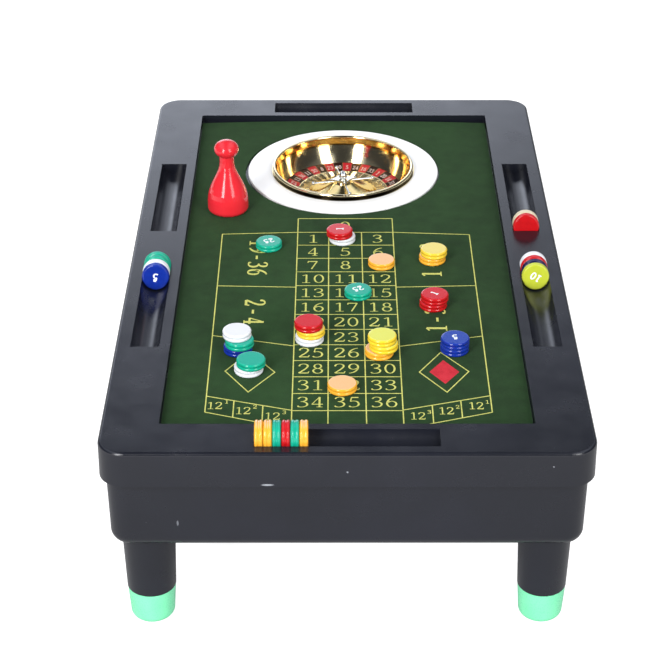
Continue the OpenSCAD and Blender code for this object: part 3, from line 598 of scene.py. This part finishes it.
yellowInk = printInk("yellowInk", tone(214, 214, 120), tone(150, 160, 80))
redInk = printInk("redInk", tone(204, 48, 62), tone(170, 36, 48))
inkHeight = layout["inkHeight"]
onMat = flatOn(matTop)
inkPiece("mat_grid_lines", gridLines(), onMat, inkHeight, yellowInk, "lid")
inkPiece("mat_field_lines", fieldLines(), onMat, inkHeight, yellowInk, "lid")
inkPiece("mat_grid_figures", gridFigures(), onMat, inkHeight, yellowInk, "lid")
inkPiece("mat_label_figures", labelFigures(), onMat, inkHeight, yellowInk, "lid")
rhombus = {"x": 66.6, "top": -156.4, "low": -187.2, "half": 10.2, "tip": 0.05}
rhombusLine = np.column_stack([np.full(3, rhombus["x"]), np.linspace(rhombus["top"], rhombus["low"], 3)])
rhombusWidths = np.array([rhombus["tip"], 2 * rhombus["half"], rhombus["tip"]])
redField = (rhombusLine, rhombusWidths, False, 0)
inkPiece("mat_red_diamond", [redField], onMat, inkHeight, redInk, "lid")
print("layout printed on the mat")


# figures on the number ring

ringFigures = {
    "order": [0, 32, 15, 19, 4, 21, 2, 25, 17, 34, 6, 27, 13, 36, 11, 30, 8, 23, 10, 5, 24, 16, 33, 1, 20, 14,
              31, 9, 22, 18, 29, 7, 28, 12, 35, 3, 26],
    "height": 4.3, "width": 2.3, "advance": 2.6, "nib": (0.09, 0.14), "middle": 5.2,
    "slopeRun": 10.5, "slopeDrop": 2.7, "ink": 0.03,
}


def aroundRing(angle):  # places ink on the ring's sloping face with the figures' tops outwards
    def place(xy, lift):
        radius = numberRadius / mm - ringFigures["middle"] + xy[:, 1]
        turn = angle - xy[:, 0] / radius
        drop = (numberRadius / mm - radius) / ringFigures["slopeRun"] * ringFigures["slopeDrop"]
        return np.column_stack([wheelX + radius * mm * np.cos(turn), wheelY + radius * mm * np.sin(turn),
                                numberOuter + (lift - drop) * mm])
    return place


def ringInk():
    look = ringFigures
    count = len(look["order"])
    whiteInk = printInk("whiteRingInk", tone(222, 206, 200), tone(180, 150, 148))
    points, faces = np.empty((0, 3)), []
    for index, number in enumerate(look["order"]):
        angle = -math.pi / 2 - index * 2 * math.pi / count
        strokes = writing(str(number), look["height"], look["width"], look["advance"], look["nib"])
        added, addedFaces = inkSlabs(strokes, aroundRing(angle), look["ink"], len(points))
        points = np.vstack([points, added])
        faces += addedFaces
    addPiece("ring_figures", points, faces, whiteInk, "rotor")


ringInk()
print("ring figures printed")


# figures on the chips

chipFigures = {  # chip node, text, turn of the text, and the lean of a standing chip's face
    "stack_01_teal": ("25", 200, None), "stack_02_red": ("1", 88, None), "stack_05_teal": ("25", 205, None),
    "stack_06_red": ("1", 55, None), "stack_11_blue": ("5", 190, None),
    "rack_left_blue": ("5", 173, 8), "rack_right_lime": ("10", 149, 8),
}
chipInk = {"height": 5.6, "width": 3.5, "advance": 4.2, "nib": (0.17, 0.2), "ink": 0.04,
           "chipThickness": 5.5}


def onChip(node, lean):
    # places ink on a chip's upper face, or on the front face of a chip that leans back
    low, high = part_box(node)
    middle = middleOf(node)
    if lean is None:
        centre = np.array([middle[0], middle[1], high.z])
        across, up, out = np.array([1, 0, 0]), np.array([0, 1, 0]), np.array([0, 0, 1])
    else:
        angle = math.radians(lean)
        out = np.array([0, -math.cos(angle), math.sin(angle)])
        across = np.array([1, 0, 0])
        up = np.array([0, math.sin(angle), math.cos(angle)])
        centre = middle + out * chipInk["chipThickness"] / 2 * mm
    return lambda xy, lift: (centre + (xy[:, :1] * across + xy[:, 1:] * up + lift * out) * mm)


bodyOf = {node: body for body, members in frame["record"]["behaviour"]["bodies"].items() for node in members}
chipPrint = printInk("chipInk", tone(240, 246, 250), tone(220, 230, 238))
for node, (text, turn, lean) in chipFigures.items():
    letters = writing(text, chipInk["height"], chipInk["width"], chipInk["advance"], chipInk["nib"])
    strokes = moved(letters, 0, 0, turn)
    inkPiece(node + "_figure", strokes, onChip(node, lean), chipInk["ink"], chipPrint, bodyOf[node])
print("chip figures printed")


# floor, light and camera

def whiteFloor():  # reads as white where the camera or a reflection sees it, and keeps a soft shadow
    p = Paint("whiteFloor")
    look = {"seen": 0.88, "mirrorRamp": (0.4, 1.1, 0.03, 0.9), "matt": (0.51, 0.51, 0.52, 1)}
    rays = p.node("ShaderNodeLightPath", output="Is Camera Ray")
    mirrored = rays.also("Is Glossy Ray") + rays.also("Is Transmission Ray")
    away = p.node("ShaderNodeVectorMath", {"operation": "LENGTH"}, {0: p.place()}, "Value")
    seen = rays * look["seen"] + mirrored * p.ramp(away, *look["mirrorRamp"])
    glow = p.node("ShaderNodeEmission", None, {"Strength": seen}, "Emission")
    matt = p.node("ShaderNodeBsdfDiffuse", None, {"Color": look["matt"]}, "BSDF")
    p.finishWith(p.node("ShaderNodeAddShader", None, {0: glow, 1: matt}, "Shader"))
    return p.material


def makeFloor():
    half = 6.0
    corners = np.array([(-half, -half, 0), (half, -half, 0), (half, half, 0), (-half, half, 0)])
    mesh = bpy.data.meshes.new("floor")
    mesh.from_pydata(corners.tolist(), [], [[0, 1, 2, 3]])
    mesh.materials.append(whiteFloor())
    floor = bpy.data.objects.new("floor", mesh)
    bpy.context.scene.collection.objects.link(floor)


lamps = {  # middle, width and height, and power of each softbox
    "keyLight": {"place": (-0.89, -1.53, 1.05), "size": (0.5, 1.5), "power": 34},
    "fillLight": {"place": (1.03, -1.45, 1.05), "size": (0.62, 1.5), "power": 18},
}
lampAim = (0, 0.1, 0.3)


def softbox(name, place, size, power):
    light = bpy.data.lights.new(name, "AREA")
    light.shape = "RECTANGLE"
    light.size, light.size_y = size
    light.energy = power
    lamp = bpy.data.objects.new(name, light)
    bpy.context.scene.collection.objects.link(lamp)
    lamp.location = place
    away = np.array(lampAim, float) - np.array(place, float)  # the way that it faces
    lamp.rotation_euler = (math.atan2(math.hypot(away[0], away[1]), -away[2]), 0,
                           math.atan2(away[0], -away[1]) + math.pi)


studio = {  # ramps over the direction of a reflection: from, to, and the strength at each
    "low": (0.4, 0.5, 1, 0), "behind": (-0.1, 0.3, 0, 1), "left": (-0.55, -0.3, 0, 1),
    "right": (-0.05, 0.42, 1, 0.03), "farRight": (0.055, 0.12, 1, 0.68), "backdrop": 2.7,
    "ceiling": (0.55, 0.8, 0, 1.1), "ceilingSide": (0.1, 0.36, 0, 1), "middle": -0.03,
    "flare": (0.36, 0.5, 0, 1), "flareEnd": (0.56, 0.78, 0.75, 0), "flareSide": (0.2, 0.4, 0, 1),
    "flareFar": (0.45, 0.62, 1, 0.1), "dim": 0.045, "around": 0.66, "tint": (0.9, 0.96, 1.1, 1),
}


def studioWorld():
    # white behind the object; a reflection sees a pale backdrop that darkens with height, a pale
    # ceiling at both sides and two flares below it
    look = studio
    world = bpy.data.worlds.new("studio")
    bpy.context.scene.world = world
    world.use_nodes = True
    p = Paint("studio", world.node_tree)
    rays = p.node("ShaderNodeLightPath", output="Is Camera Ray")
    mirrored = rays.also("Is Glossy Ray")
    across, away, up = p.axes(p.node("ShaderNodeTexCoord", output="Generated"))
    spread = p.maths("ABSOLUTE", across - look["middle"])
    side = p.ramp(across, *look["left"]) * p.ramp(across, *look["right"]) * p.ramp(across, *look["farRight"])
    backdrop = p.ramp(up, *look["low"]) * p.ramp(away, *look["behind"]) * side * look["backdrop"]
    ceiling = p.ramp(up, *look["ceiling"]) * p.ramp(spread, *look["ceilingSide"])
    flare = p.ramp(spread, *look["flareSide"]) * p.ramp(spread, *look["flareFar"])
    flare = flare * p.ramp(up, *look["flare"]) * p.ramp(up, *look["flareEnd"])
    seen = mirrored * (backdrop + ceiling + flare + look["dim"]) + (1 - mirrored) * look["around"]
    strength = rays + (1 - rays) * seen
    colour = p.mix(mirrored, (1, 1, 1, 1), look["tint"])
    glow = p.node("ShaderNodeBackground", None, {"Color": colour, "Strength": strength}, "Background")
    out = p.tree.nodes.new("ShaderNodeOutputWorld")
    p.tree.links.new(glow.socket, out.inputs["Surface"])


def makeCamera():
    view = {"place": (-0.00877, -1.2967, 0.8332), "down": 30.44, "turn": -0.047,
            "lens": 104.14, "sensor": 36.0}
    data = bpy.data.cameras.new("camera")
    data.lens = view["lens"]
    data.sensor_width = view["sensor"]
    camera = bpy.data.objects.new("camera", data)
    bpy.context.scene.collection.objects.link(camera)
    camera.location = view["place"]
    camera.rotation_euler = (math.radians(90 - view["down"]), 0, math.radians(view["turn"]))
    bpy.context.scene.camera = camera


makeFloor()
studioWorld()
for lampName, lamp in lamps.items():
    softbox(lampName, **lamp)
makeCamera()
bpy.context.scene.view_settings.view_transform = "Standard"
print("floor, light and camera set")
